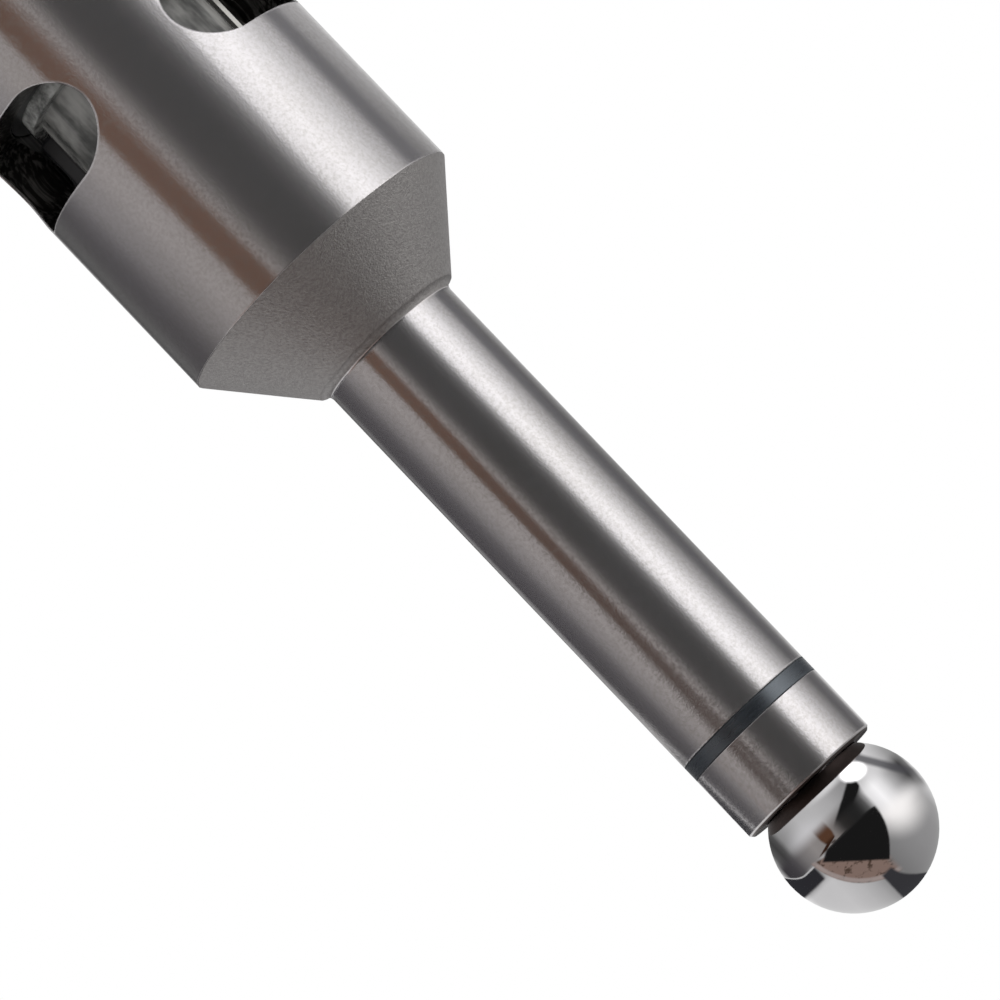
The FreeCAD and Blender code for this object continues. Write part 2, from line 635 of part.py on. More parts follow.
# Light guide: a frosted cup over the lamp, seen through the windows
guide = start_body("light_guide", "Levels.carrier_top")
guide_bore = "Levels.guide_radius - Sizes.guide_wall"
guide_roof = "Sizes.lamp_height + Sizes.lamp_room"
turn(guide, "guide_turning", [
    (guide_bore, "0"),
    ("Levels.guide_radius", "0"),
    ("Levels.guide_radius", "Levels.guide_height - Sizes.guide_flange_thickness"),
    ("Levels.guide_flange_radius", "Levels.guide_height - Sizes.guide_flange_thickness"),
    ("Levels.guide_flange_radius", "Levels.guide_height"),
    ("0", "Levels.guide_height"),
    ("0", guide_roof),
    (guide_bore, guide_roof),
])

# Battery sleeve: a deep cup, slotted at its foot for the contact strip
sleeve = start_body("battery_sleeve", "Levels.sleeve_bottom", "Sizes.strip_azimuth")
sleeve_end = "Levels.cap_nose - Sizes.sleeve_gap - Levels.sleeve_bottom"
turn(sleeve, "sleeve_turning", [
    ("0", "0"),
    ("Levels.chamber_fit", "0"),
    ("Levels.chamber_fit", sleeve_end),
    ("Levels.sleeve_bore_radius", sleeve_end),
    ("Levels.sleeve_bore_radius", "Sizes.sleeve_floor"),
    ("0", "Sizes.sleeve_floor"),
])
slot_outline = start_sketch(sleeve, "strip_slot_outline", "XY_Plane")
draw_outline(slot_outline, rectangle(
    "Levels.sleeve_bore_radius - Sizes.strip_room", "Levels.chamber_radius",
    "-Sizes.strip_width / 2 - Sizes.strip_room", "Sizes.strip_width / 2 + Sizes.strip_room"))
pocket(sleeve, "strip_slot", slot_outline,
       "Sizes.sleeve_floor + Sizes.contact_thickness + Sizes.strip_room", upwards=True)

# Front contact: a disc under the cells, and a strip bent down to the board beside the light guide
contact = start_body("front_contact", "Levels.contact_seat", "Sizes.strip_azimuth")
disc_outline = start_sketch(contact, "disc_outline", "XY_Plane")
draw_circle(disc_outline, "0", "0", "Levels.contact_radius")
pad(contact, "disc", disc_outline, "Sizes.contact_thickness")
strip_drop = "(Sizes.sleeve_floor + Levels.guide_height)"
strip_outer = "Levels.strip_radius + Sizes.strip_thickness"
foot_inner = "Levels.guide_radius + Sizes.strip_room"
strip_outline = start_sketch(contact, "strip_outline")
draw_outline(strip_outline, [
    ("Levels.contact_radius / 2", "0"),
    ("Levels.strip_radius", "0"),
    ("Levels.strip_radius", f"-{strip_drop} + Sizes.strip_thickness"),
    (foot_inner, f"-{strip_drop} + Sizes.strip_thickness"),
    (foot_inner, f"-{strip_drop}"),
    (strip_outer, f"-{strip_drop}"),
    (strip_outer, "Sizes.contact_thickness"),
    ("Levels.contact_radius / 2", "Sizes.contact_thickness"),
])
pad(contact, "strip", strip_outline, "Sizes.strip_width", both_ways=True)

# Cells: terminals down, one above the other
for label, base in (("front_cell", "Levels.front_cell_base"), ("rear_cell", "Levels.rear_cell_base")):
    cell = start_body(label, base)
    turn(cell, label + "_turning", [
        ("0", "0"),
        ("Sizes.terminal_diameter / 2", "0"),
        ("Sizes.terminal_diameter / 2", "Sizes.terminal_length"),
        ("Levels.cell_radius - Sizes.cell_edge", "Sizes.terminal_length"),
        ("Levels.cell_radius", "Sizes.terminal_length + Sizes.cell_edge"),
        ("Levels.cell_radius", "Sizes.cell_length - Sizes.cell_edge"),
        ("Levels.cell_radius - Sizes.cell_edge", "Sizes.cell_length"),
        ("0", "Sizes.cell_length"),
    ])

coil("battery_spring", "Levels.cell_top", "Levels.cap_contact_face - Levels.cell_top",
     "Levels.battery_coil_radius", "Sizes.battery_wire", "Sizes.battery_coil_turns")

ring("cap_contact", "Levels.cap_contact_face", "0", "Levels.recess_radius - Sizes.fit_clearance",
     "Sizes.cap_contact_thickness")

# Battery cap: recessed nose, thread, undercut for the sealing ring, and a head with a coin slot
cap = start_body("battery_cap", "Sizes.rear_reach + Sizes.head_gap")
nose_end = "(Levels.cap_nose - Sizes.rear_reach - Sizes.head_gap)"
thread_end = "(-Sizes.thread_length + Sizes.thread_pitch / 4)"
undercut = "Levels.seal_radius - Sizes.seal_section / 2 - Sizes.fit_clearance"
turn(cap, "cap_turning", [
    ("0", f"{nose_end} + Sizes.recess_depth"),
    ("Levels.recess_radius", f"{nose_end} + Sizes.recess_depth"),
    ("Levels.recess_radius", nose_end),
    ("Levels.chamber_fit", nose_end),
    ("Levels.chamber_fit", thread_end),
    ("Levels.thread_radius - Sizes.running_clearance", thread_end),
    ("Levels.thread_radius - Sizes.running_clearance", "-Sizes.seal_pocket_depth - Sizes.head_gap"),
    (undercut, "-Sizes.seal_pocket_depth - Sizes.head_gap"),
    (undercut, "0"),
    ("Levels.head_radius", "0"),
    ("Levels.head_radius", "Sizes.head_length - Sizes.head_chamfer"),
    ("Levels.head_radius - Sizes.head_chamfer", "Sizes.head_length"),
    ("0", "Sizes.head_length"),
])
coin_outline = start_sketch(cap, "coin_outline")
draw_outline(coin_outline, rectangle(
    "-Sizes.slot_width / 2", "Sizes.slot_width / 2",
    "Sizes.head_length - Sizes.slot_depth", "Sizes.head_length + Sizes.slot_depth"))
pocket(cap, "coin_slot", coin_outline, "4 * Levels.head_radius", both_ways=True)

# Sealing ring in the barrel's mouth
seal = start_body("cap_seal", "Sizes.rear_reach - Sizes.seal_pocket_depth / 2")
seal_outline = start_sketch(seal, "seal_outline")
draw_circle(seal_outline, "Levels.seal_radius", "0", "Sizes.seal_section / 2")
seal_cord = seal.newObject("PartDesign::Revolution", "seal_cord")
seal_cord.Profile = seal_outline
seal_cord.ReferenceAxis = (seal_outline, ["V_Axis"])
seal_cord.Angle = 360

document.recompute()

failed = [item.Name for item in document.Objects if {"Invalid", "Error"} & set(item.State)]
if failed:
    raise RuntimeError(f"Failed objects: {failed}")

pieces = [item for item in document.Objects
          if item.TypeId in ("PartDesign::Body", "Part::Box", "Part::Feature")]
for piece in pieces:
    if piece.Shape.isNull() or not piece.Shape.isValid():
        raise RuntimeError(f"{piece.Label} has no valid shape")

os.makedirs("parts", exist_ok=True)
for piece in pieces:
    piece.Shape.exportStep(f"parts/{piece.Label}.step")
    box = piece.Shape.BoundBox
    print(f"{piece.Label:16} {len(piece.Shape.Solids)} solid {piece.Shape.Volume:10.3f} mm3"
          f"  z {box.ZMin:8.3f} to {box.ZMax:8.3f}  r {max(box.XMax, box.YMax):7.3f}")
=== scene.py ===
"""Electronic edge finder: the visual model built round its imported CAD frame.

Metres throughout, with the tool upright: +Z runs up the axis, from the contact ball to the
battery cap.
"""

import math

import bmesh
import bpy
from mathutils import Matrix, Vector


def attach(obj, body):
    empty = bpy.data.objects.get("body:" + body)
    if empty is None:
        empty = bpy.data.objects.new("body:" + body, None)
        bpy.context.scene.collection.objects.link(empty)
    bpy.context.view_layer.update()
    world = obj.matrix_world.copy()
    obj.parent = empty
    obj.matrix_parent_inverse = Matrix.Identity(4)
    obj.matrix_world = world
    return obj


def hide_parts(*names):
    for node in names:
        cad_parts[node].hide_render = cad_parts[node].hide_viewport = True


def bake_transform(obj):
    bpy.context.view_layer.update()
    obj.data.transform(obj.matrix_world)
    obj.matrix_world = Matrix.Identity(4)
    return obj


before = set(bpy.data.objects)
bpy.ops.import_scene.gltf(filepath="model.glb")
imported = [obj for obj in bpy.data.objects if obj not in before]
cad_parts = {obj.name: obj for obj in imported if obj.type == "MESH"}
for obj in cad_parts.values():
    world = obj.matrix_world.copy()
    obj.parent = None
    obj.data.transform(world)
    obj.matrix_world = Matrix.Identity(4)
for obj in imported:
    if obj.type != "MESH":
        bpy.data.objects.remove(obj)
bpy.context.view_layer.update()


# Studio: the tool hangs upright over a pale table, as in a spindle, with its tip about 9 mm clear
# so that the ball can be pulled down. The camera looks slightly upwards and is rolled, so that
# the tool lies diagonally in the picture. The walls of a tent round it give the steel its bands.
class Link:
    """Output of a node that takes part in Python arithmetic."""

    def __init__(self, bench, socket):
        self.bench = bench
        self.socket = socket

    def math(self, operation, *values):
        return self.bench.add("ShaderNodeMath", {"operation": operation},
                              dict(enumerate((self, *values))))

    def vector(self, operation, *values, output=0):
        return self.bench.add("ShaderNodeVectorMath", {"operation": operation},
                              dict(enumerate((self, *values))), output)

    def __add__(self, other):
        return self.math("ADD", other)

    def __sub__(self, other):
        return self.math("SUBTRACT", other)

    def __rsub__(self, other):
        return (self * -1).math("ADD", other)

    def __mul__(self, other):
        return self.math("MULTIPLY", other)

    def __truediv__(self, other):
        return self.math("DIVIDE", other)

    __radd__ = __add__
    __rmul__ = __mul__


class Bench:
    """Node tree of one material or world under construction."""

    def __init__(self, owner):
        owner.use_nodes = True
        self.tree = owner.node_tree
        self.tree.nodes.clear()

    def add(self, kind, settings=None, values=None, output=0):
        """Node of a kind, with its settings, and values or links for its sockets."""
        node = self.tree.nodes.new(kind)
        for name, setting in (settings or {}).items():
            if name == "stops":
                self.set_stops(node.color_ramp, setting)
            else:
                setattr(node, name, setting)
        for key, value in (values or {}).items():
            socket = node.inputs[key]
            if isinstance(value, Link):
                self.tree.links.new(value.socket, socket)
            elif hasattr(value, "__len__") and len(socket.default_value) > len(value):
                socket.default_value = (*value, 1)
            else:
                socket.default_value = value
        return Link(self, node.outputs[output]) if len(node.outputs) else node

    @staticmethod
    def set_stops(ramp, stops):
        while len(ramp.elements) < len(stops):
            ramp.elements.new(0.5)
        for element, (position, colour) in zip(ramp.elements, stops):
            element.position = position
            element.color = (*colour, 1)

    def place(self):
        """Point on the piece, in the object's own coordinates."""
        return self.add("ShaderNodeTexCoord", None, None, 3)

    def split(self, vector):
        """Three components of a vector."""
        first = self.add("ShaderNodeSeparateXYZ", None, {0: vector})
        return [Link(self, socket) for socket in first.socket.node.outputs]

    def from_axis(self, place):
        """Distance of a point from the tool's axis, and its height."""
        to_x, to_y, height = self.split(place)
        return (to_x * to_x + to_y * to_y).math("SQRT"), height

    def mix(self, factor, first, second):
        """Colour between two colours."""
        return self.add("ShaderNodeMix", {"data_type": "RGBA"}, {0: factor, 6: first, 7: second}, 2)

    def blend(self, factor, first, second):
        """Number between two numbers."""
        return self.add("ShaderNodeMix", {"data_type": "FLOAT"}, {0: factor, 2: first, 3: second})

    def step(self, value, low, high):
        """0 up to low, 1 from high and smooth between. Low may be the larger of the two."""
        return self.add("ShaderNodeMapRange", {"interpolation_type": "SMOOTHSTEP"},
                        {"Value": value, "From Min": low, "From Max": high})

    def noise(self, place, scale, detail=2.0, roughness=0.5):
        """Noise with a scale per metre, or one scale for each axis."""
        if hasattr(scale, "__len__"):
            place = place.vector("MULTIPLY", scale)
            scale = 1.0
        return self.add("ShaderNodeTexNoise", None,
                        {"Vector": place, "Scale": scale, "Detail": detail, "Roughness": roughness})

    def rounded(self, radius):
        """Normal that rounds the piece's sharp edges."""
        return self.add("ShaderNodeBevel", {"samples": 4}, {"Radius": radius})

    def bump(self, height, distance, normal=None):
        """Normal with fine relief, laid over another normal if one is given."""
        values = {"Height": height, "Distance": distance}
        if normal:
            values["Normal"] = normal
        return self.add("ShaderNodeBump", None, values)

    def finish(self, shader, kind="ShaderNodeOutputMaterial"):
        self.add(kind, None, {"Surface": shader})


def make_object(name, shape, material):
    """Object at the origin from a bmesh, which it frees."""
    mesh = bpy.data.meshes.new(name)
    shape.to_mesh(mesh)
    shape.free()
    mesh.materials.append(material)
    made = bpy.data.objects.new(name, mesh)
    bpy.context.scene.collection.objects.link(made)
    return made


camera_place = Vector((-0.01643, -0.38265, -0.11371))
camera_turn = (98.6088, 43.3159, 3.7293)
focal_pixels = 6549.6
picture_pixels = 1000
sensor = 36
camera = bpy.data.objects.new("camera", bpy.data.cameras.new("camera"))
camera.data.sensor_width = sensor
camera.data.lens = focal_pixels / picture_pixels * sensor
camera.data.clip_start = 0.01
camera.location = camera_place
camera.rotation_euler = [math.radians(angle) for angle in camera_turn]
bpy.context.scene.collection.objects.link(camera)
bpy.context.scene.camera = camera
bpy.context.scene.view_settings.view_transform = "Standard"

table_level = -0.114
table_half = 1.5
white_from = 0.16
white_by = 0.55
table_shape = bmesh.new()
bmesh.ops.create_grid(table_shape, x_segments=1, y_segments=1, size=table_half)
bmesh.ops.translate(table_shape, verts=table_shape.verts, vec=(0, 0, table_level))
table_finish = bpy.data.materials.new("table_finish")
bench = Bench(table_finish)
place = bench.place()
grain = bench.noise(place, 900)
paper = bench.add("ShaderNodeBsdfPrincipled", None, {
    "Base Color": bench.mix(grain, (0.84, 0.84, 0.83), (0.87, 0.87, 0.86)), "Roughness": 0.75,
    "Specular IOR Level": 0.2})
far_white = bench.add("ShaderNodeEmission", None, {"Color": (1.0, 1.0, 1.0), "Strength": 1.0})
seen = Link(bench, bench.add("ShaderNodeLightPath").socket.node.outputs["Is Camera Ray"])
far = bench.step(place.vector("LENGTH", output=1), white_from, white_by)
bench.finish(bench.add("ShaderNodeMixShader", None, {0: far * seen, 1: paper, 2: far_white}))
table = make_object("table", table_shape, table_finish)
table.visible_glossy = False

# The tent's walls are drawn as the ball shows them: across runs from -1 at its left limb to 1 at
# its right limb, and rise from -1 at its foot to 1 at its top. The tool's round sides show only
# the rows where rise is a little above 0.
ball_place = Vector((0, 0, -0.1))
towards_camera = (camera_place - ball_place).normalized()
across_axis = Vector((0, 0, 1)).cross(towards_camera).normalized()
rise_axis = towards_camera.cross(across_axis)
tent_radius = 0.6
tent_shape = bmesh.new()
bmesh.ops.create_uvsphere(tent_shape, u_segments=64, v_segments=32, radius=tent_radius)
bmesh.ops.reverse_faces(tent_shape, faces=tent_shape.faces)
tent_finish = bpy.data.materials.new("tent_finish")
bench = Bench(tent_finish)
sight = bench.place().vector("SUBTRACT", ball_place).vector("NORMALIZE")
facing = sight.vector("ADD", towards_camera).vector("NORMALIZE")
across = facing.vector("DOT_PRODUCT", across_axis, output=1)
rise = facing.vector("DOT_PRODUCT", rise_axis, output=1)
brightest = 1.6


def tone(light):
    """Light of a wall, one number or three, as a share of the brightest."""
    parts = light if hasattr(light, "__len__") else (light, light, light)
    return [part / brightest for part in parts]


def wall(stops):
    """Wall colour along the picture's width, from pairs of place and light."""
    scaled = [((spot + 1) / 2, tone(level)) for spot, level in stops]
    return bench.add("ShaderNodeValToRGB", {"stops": scaled}, {0: across * 0.5 + 0.5})


band = wall([
    (-1, 1.0), (-0.97, 0.4), (-0.93, (0.05, 0.046, 0.052)), (-0.82, (0.07, 0.066, 0.072)),
    (-0.76, (0.10, 0.095, 0.10)), (-0.66, (0.215, 0.205, 0.205)), (-0.5, (0.33, 0.31, 0.30)),
    (-0.42, (0.31, 0.29, 0.28)), (-0.2, (0.27, 0.25, 0.24)), (-0.1, (0.205, 0.19, 0.183)),
    (0, (0.11, 0.10, 0.095)), (0.1, 0.075), (0.2, 0.09), (0.29, 0.165), (0.34, 0.45),
    (0.385, 1.02), (0.5, 1.28), (0.6, 1.0), (0.7, 0.58), (0.8, 0.27), (0.89, 0.06), (0.96, 0.22),
    (1, 0.9)])
upper = wall([
    (-1, 0.6), (-0.95, 0.40), (-0.9, 0.12), (-0.82, 0.06), (-0.76, 0.10), (-0.7, 0.32),
    (-0.5, 0.52), (-0.42, 0.60), (-0.2, 0.60), (0, 0.52), (0.2, 0.38), (0.3, 0.36), (0.40, 0.76),
    (0.55, 0.90), (0.68, 0.84), (0.78, 0.64), (0.88, 0.40), (0.95, 0.30), (1, 0.8)])
lower = wall([
    (-1, 0.9), (-0.9, 0.70), (-0.6, 0.72), (-0.4, 0.62), (-0.25, 0.50), (-0.1, 0.3), (0.1, 0.24),
    (0.3, 0.30), (0.5, 0.34), (0.7, 0.36), (0.85, 0.42), (0.95, 0.7), (1, 1.0)])
light = bench.mix(bench.step(rise, -0.28, -0.12), lower, upper)


def lay(light, mask, colour):
    """Wall light with a colour laid on it where the mask is 1."""
    return bench.mix(mask, light, tone(colour))


def reach(centre_across, centre_rise, width, height):
    """Distance from a middle, as a share of an ellipse's half width and half height."""
    sideways = (across - centre_across) / width
    upwards = (rise - centre_rise) / height
    return (sideways * sideways + upwards * upwards).math("SQRT")


# Soft glow of the lamp on the right wall, and a paler patch on the left one
glow = bench.step(reach(0.54, -0.17, 0.42, 0.42), 1.0, 0.1)
light = lay(light, glow * 0.92, (1.30, 1.28, 1.25))
pale_patch = bench.step(reach(-0.45, 0.24, 0.36, 0.30), 1.0, 0.2)
light = lay(light, pale_patch * 0.6, (0.82, 0.82, 0.84))
# Rows that the round sides show, with a wooden stick in front of the left wall
rows_foot = bench.blend(bench.step(across, 0.30, 0.42), -0.01, -0.20)
rows = bench.step(rise, rows_foot, 0.035) * bench.step(rise, 0.36, 0.17)
light = bench.mix(rows, light, band)
stick_lean = (0.075 - rise).math("MAXIMUM", 0) * 3.6
stick_reach = (across + 0.293 + stick_lean).math("ABSOLUTE")
stick_reach = stick_reach - rise.math("MINIMUM", 0.15) * 0.25 - 0.050
stick = bench.step(stick_reach, 0.018, -0.018)
stick = stick * bench.step(rise, 0.015, 0.035) * bench.step(rise, 0.33, 0.18)
stick_wood = bench.mix(bench.step(rise, 0.06, 0.12),
                       tone((0.035, 0.015, 0.008)), tone((0.11, 0.053, 0.03)))
light = bench.mix(stick, light, stick_wood)
stick_end = bench.step(reach(-0.275, 0.045, 0.045, 0.014), 1.1, 0.4)
light = lay(light, stick_end * 0.8, (0.03, 0.018, 0.014))
# Dim slanted gap between the lamp's wall and the next
gap_reach = across - (0.55 - rise).math("MAXIMUM", 0) * 0.62 - 0.60
gap = bench.step(gap_reach.math("ABSOLUTE"), 0.085, 0.02) * bench.step(rise, -0.12, 0.16)
light = lay(light, gap * 0.85, (0.09, 0.09, 0.10))
# Dark table at the lower left, with a bright line along its far edge
patch = bench.step(across, -0.62, -0.665) * bench.step(rise, -0.22, -0.18)
above_patch = rise - (-0.78 - across).math("MAXIMUM", 0).math("POWER", 2) * 3.6
edge_line = bench.step((above_patch + 0.012).math("ABSOLUTE"), 0.014, 0.006)
light = lay(light, patch * edge_line, 0.6)
light = lay(light, patch * bench.step(above_patch, -0.02, -0.03), (0.03, 0.03, 0.035))
# Stained wooden block under the camera's dark shape, with a paler rim
block_reach = reach(0.2, 0.1, 0.86, 0.86)
block = bench.step(block_reach, 1.0, 0.97) * bench.step(rise + (across + 0.6) * 0.3, 0.04, 0.0)
block = block * bench.step(across, 0.12, 0.0)
blots = bench.noise(facing.vector("MULTIPLY", (5, 5, 8)), 1.6, 4, 0.6)
block_wood = bench.mix(bench.step(blots, 0.50, 0.64),
                       tone((0.27, 0.19, 0.16)), tone((0.09, 0.06, 0.045)))
block_rim = bench.step((block_reach - 0.95).math("ABSOLUTE"), 0.045, 0.01)
block_wood = bench.mix(block_rim * 0.7, block_wood, tone((0.46, 0.40, 0.38)))
light = bench.mix(block, light, block_wood)
# Dark table again, at the very foot
below = (-0.62 - rise).math("MAXIMUM", 0)
foot = bench.step(across, -0.165, -0.125) * bench.step(across - below * below * 2.2, 0.03, -0.02)
light = lay(light, foot * bench.step(rise, -0.60, -0.65), (0.045, 0.045, 0.05))
# Dark shape of the camera in front of the tool, softer and paler in the rows of the round sides
in_rows = bench.step(rise, 0.01, 0.045) * bench.step(rise, 0.32, 0.19)
slope = bench.step(rise - (across + 0.4624) * 0.56, 0.02, -0.02)
notch = bench.step(across, bench.blend(in_rows, -0.9, -0.22), bench.blend(in_rows, -0.8, -0.04))
bulge = rise.math("MAXIMUM", 0) * 0.12
right_reach = across - bulge + rise.math("MINIMUM", 0).math("POWER", 2)
side = bench.step(right_reach, 0.37, bench.blend(in_rows, 0.335, 0.13))
base = bench.step(rise + 0.074 + (across + 0.5) * 0.862, -0.02, 0.02)
paler = 1 - in_rows * bench.step(rise, 0.26, 0.14) * 0.16
light = lay(light, slope * notch * side * base * paler, 0.012)
# Lamp itself, high on the right, with its spill to the left
above_lamp = rise - 0.47
beside_lamp = across + above_lamp * 0.35 - 0.44
lamp_reach = beside_lamp * beside_lamp / 0.013 + above_lamp.math("POWER", 2) / 0.0078
lamp_spot = bench.step(lamp_reach.math("SQRT"), 1.6, 0.4)
spill = bench.step(reach(0.12, 0.56, 0.36, 0.08), 1.2, 0.1)
light = lay(light, spill * 0.85, 0.95)
light = lay(light, lamp_spot, 5.0)
bench.finish(bench.add("ShaderNodeEmission", None, {"Color": light, "Strength": brightest}))
tent = make_object("tent", tent_shape, tent_finish)
for ray in ("camera", "diffuse", "transmission", "volume_scatter", "shadow"):
    setattr(tent, f"visible_{ray}", False)
tent_finish.cycles.emission_sampling = "NONE"

world = bpy.data.worlds.new("studio")
bpy.context.scene.world = world
bench = Bench(world)
ray_path = bench.add("ShaderNodeLightPath").socket.node.outputs
camera_ray, glossy_ray, through_ray = (
    Link(bench, ray_path[f"Is {kind} Ray"]) for kind in ("Camera", "Glossy", "Transmission"))
white_rays = camera_ray.math("MAXIMUM", glossy_ray).math("MAXIMUM", through_ray)
fill_light = 0.55
white_world = bench.add("ShaderNodeBackground", None, {
    "Color": (1.0, 1.0, 1.0), "Strength": bench.blend(white_rays, fill_light, 1.0)})
bench.finish(white_world, "ShaderNodeOutputWorld")

lamp_aim = Vector((0, 0, -0.06))
lamps = [("key", (0.33, -0.10, 0.16), 0.30, 1.7), ("fill", (-0.35, -0.30, 0.05), 0.40, 0.6)]
for lamp_name, lamp_place, lamp_size, lamp_power in lamps:
    lamp_light = bpy.data.lights.new(lamp_name, "AREA")
    lamp_light.size = lamp_size
    lamp_light.energy = lamp_power
    soft_box = bpy.data.objects.new(lamp_name, lamp_light)
    soft_box.location = lamp_place
    towards_lamp = Vector(lamp_place) - lamp_aim
    soft_box.rotation_euler = towards_lamp.to_track_quat("Z", "Y").to_euler()
    soft_box.visible_glossy = False
    bpy.context.scene.collection.objects.link(soft_box)


# Barrel: one hardened steel piece, turned and bored, with three windows milled through the wall.
# Tube and shank are ground on centres and keep fine lines round them, and the cone between them
# is bead-blasted.
shank_radius = 0.010
tube_radius = 0.00475
cone_top = -0.05455
blast_foot = -0.06052


def new_finish(name):
    """Empty material and the bench to build it on."""
    material = bpy.data.materials.new(name)
    return material, Bench(material)


def ground_surface(bench, place):
    """Height and roughness of ground steel: lines round the axis, and a grain that scatters."""
    lines = bench.noise(place, (320, 320, 7000), 3, 0.6)
    speckle = bench.noise(place, 7000, 2, 0.6)
    grain = bench.noise(place, 4300, 3, 0.7)
    return lines * 0.15 + speckle, 0.105 + bench.step(grain, 0.42, 0.75) * 0.13


def stained(bench, place, clean, stain):
    """Steel colour with a faint uneven tarnish and a fine grain."""
    cloud = bench.noise(place, (180, 180, 60), 4)
    grain = bench.noise(place, 4300, 2, 0.7)
    tarnish = bench.step(cloud, 0.35, 0.75) * 0.5 + bench.step(grain, 0.35, 0.7) * 0.6
    return bench.mix(tarnish, clean, stain)


def dress(material, *nodes):
    """Gives CAD nodes a finish."""
    for node in nodes:
        for slot in bpy.data.objects[node].material_slots:
            slot.material = material


barrel_finish, bench = new_finish("barrel_ground_steel")
place = bench.place()
radius, height = bench.from_axis(place)
cone_side = bench.step(height, cone_top, cone_top - 0.00004)
on_tube = bench.step(radius, tube_radius - 0.0002, tube_radius - 0.0001)
on_shank = bench.step(radius, shank_radius - 0.0002, shank_radius - 0.0001)
outside = on_tube * bench.step(height, cone_top, cone_top - 0.0001).math("MAXIMUM", on_shank)
blasted = bench.step(height, blast_foot - 0.00006, blast_foot + 0.00006) * cone_side * outside
grit = bench.noise(place, 7500, 2, 0.7)
pits = bench.noise(place, 5200, 3, 0.65)
milled = bench.noise(place, (3800, 3800, 60), 2, 0.6)
clean_steel = stained(bench, place, (0.775, 0.75, 0.765), (0.635, 0.61, 0.60))
blasted_steel = bench.mix(bench.step(pits, 0.35, 0.65), (0.335, 0.32, 0.318), (0.425, 0.41, 0.405))
# Painted shade: the bore's walls are coloured near black to dark grey, standing in for the shade
# inside the windows.
bore_painted_shade = bench.mix(bench.step(milled, 0.42, 0.72),
                        (0.030, 0.028, 0.027), (0.26, 0.25, 0.245))
colour = bench.mix(outside, bore_painted_shade, bench.mix(blasted, clean_steel, blasted_steel))
lustre = 0.95
ground_relief = 0.0000035
ground_height, ground_rough = ground_surface(bench, place)
rough = bench.blend(outside, 0.34, bench.blend(blasted, ground_rough, 0.5))
surface = bench.blend(outside, milled, bench.blend(blasted, ground_height, grit * 12 + pits * 8))
bench.finish(bench.add("ShaderNodeBsdfPrincipled", None, {
    "Base Color": colour, "Metallic": lustre, "Roughness": rough,
    "Normal": bench.bump(surface, ground_relief, bench.rounded(0.00018))}))
dress(barrel_finish, "barrel")


thread_pitch = 0.001
thread_turns = 7


def make_ridge(name, root, crest, foot, material, body):
    """Screw thread: a ridge wound up a wall from its root to its crest, fading at both ends."""
    shape = bmesh.new()
    half_foot = thread_pitch * 0.46
    half_crest = thread_pitch * 0.09
    sunk = root + (root - crest) * 0.15
    steps_per_turn = 48
    fade_rate = 1.5
    profile = [(sunk, -half_foot), (crest, -half_crest), (crest, half_crest), (sunk, half_foot)]
    corners = [shape.verts.new((distance, 0, foot + level)) for distance, level in profile]
    edges = [shape.edges.new((corners[index - 1], corner)) for index, corner in enumerate(corners)]
    bmesh.ops.spin(shape, geom=corners + edges, axis=(0, 0, 1), cent=(0, 0, 0),
                   dvec=(0, 0, thread_pitch / steps_per_turn), angle=math.tau * thread_turns,
                   steps=steps_per_turn * thread_turns)
    top = foot + thread_pitch * thread_turns
    for vert in shape.verts:
        distance = vert.co.xy.length
        from_end = min(vert.co.z - foot + half_crest, top + half_crest - vert.co.z)
        share = max(0.0, min(1.0, from_end / thread_pitch * fade_rate))
        vert.co.xy *= (sunk + (distance - sunk) * share) / distance
    open_edges = [edge for edge in shape.edges if edge.is_boundary]
    bmesh.ops.holes_fill(shape, edges=open_edges, sides=len(profile))
    bmesh.ops.recalc_face_normals(shape, faces=shape.faces)
    ridge = make_object(name, shape, material)
    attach(ridge, body)


cut_finish, bench = new_finish("thread_cut_steel")
place = bench.place()
chatter = bench.noise(place, (500, 500, 6000), 3)
bench.finish(bench.add("ShaderNodeBsdfPrincipled", None, {
    "Base Color": bench.mix(chatter, (0.46, 0.45, 0.44), (0.64, 0.63, 0.62)), "Metallic": 1.0,
    "Roughness": 0.22 + chatter * 0.15, "Normal": bench.bump(chatter, 0.000006)}))
mouth_root = 0.0085
mouth_crest = 0.0080
mouth_foot = 0.0405
make_ridge("mouth_thread", mouth_root, mouth_crest, mouth_foot, cut_finish, "barrel")


# Insulating ring: an acetal bush pressed into the tube. Only its slate grey flange shows, as the
# thin ring that keeps the collar's steel off the barrel's.
bush_finish, bench = new_finish("slate_acetal")
place = bench.place()
cloud = bench.noise(place, (900, 900, 5000), 3)
height = bench.split(place)[2]
flange_middle = -0.091225
flange_half = 0.000535
off_middle = (height - flange_middle).math("ABSOLUTE")
# Painted shade: both ends of the flange are coloured near black and fully rough, for the shadow in
# the gaps beside collar and barrel.
edge = bench.step(off_middle, flange_half - 0.00010, flange_half - 0.00006)
slate = bench.mix(cloud, (0.010, 0.012, 0.015), (0.020, 0.023, 0.028))
bench.finish(bench.add("ShaderNodeBsdfPrincipled", None, {
    "Base Color": bench.mix(edge, slate, (0.001, 0.001, 0.001)),
    "Roughness": bench.blend(edge, 0.22 + cloud * 0.12, 1.0), "IOR": 1.8,
    "Specular IOR Level": 1.0, "Specular Tint": (0.84, 0.92, 1.0),
    "Normal": bench.bump(cloud, 0.000006)}))
dress(bush_finish, "insulating_bush", "rod_bush")
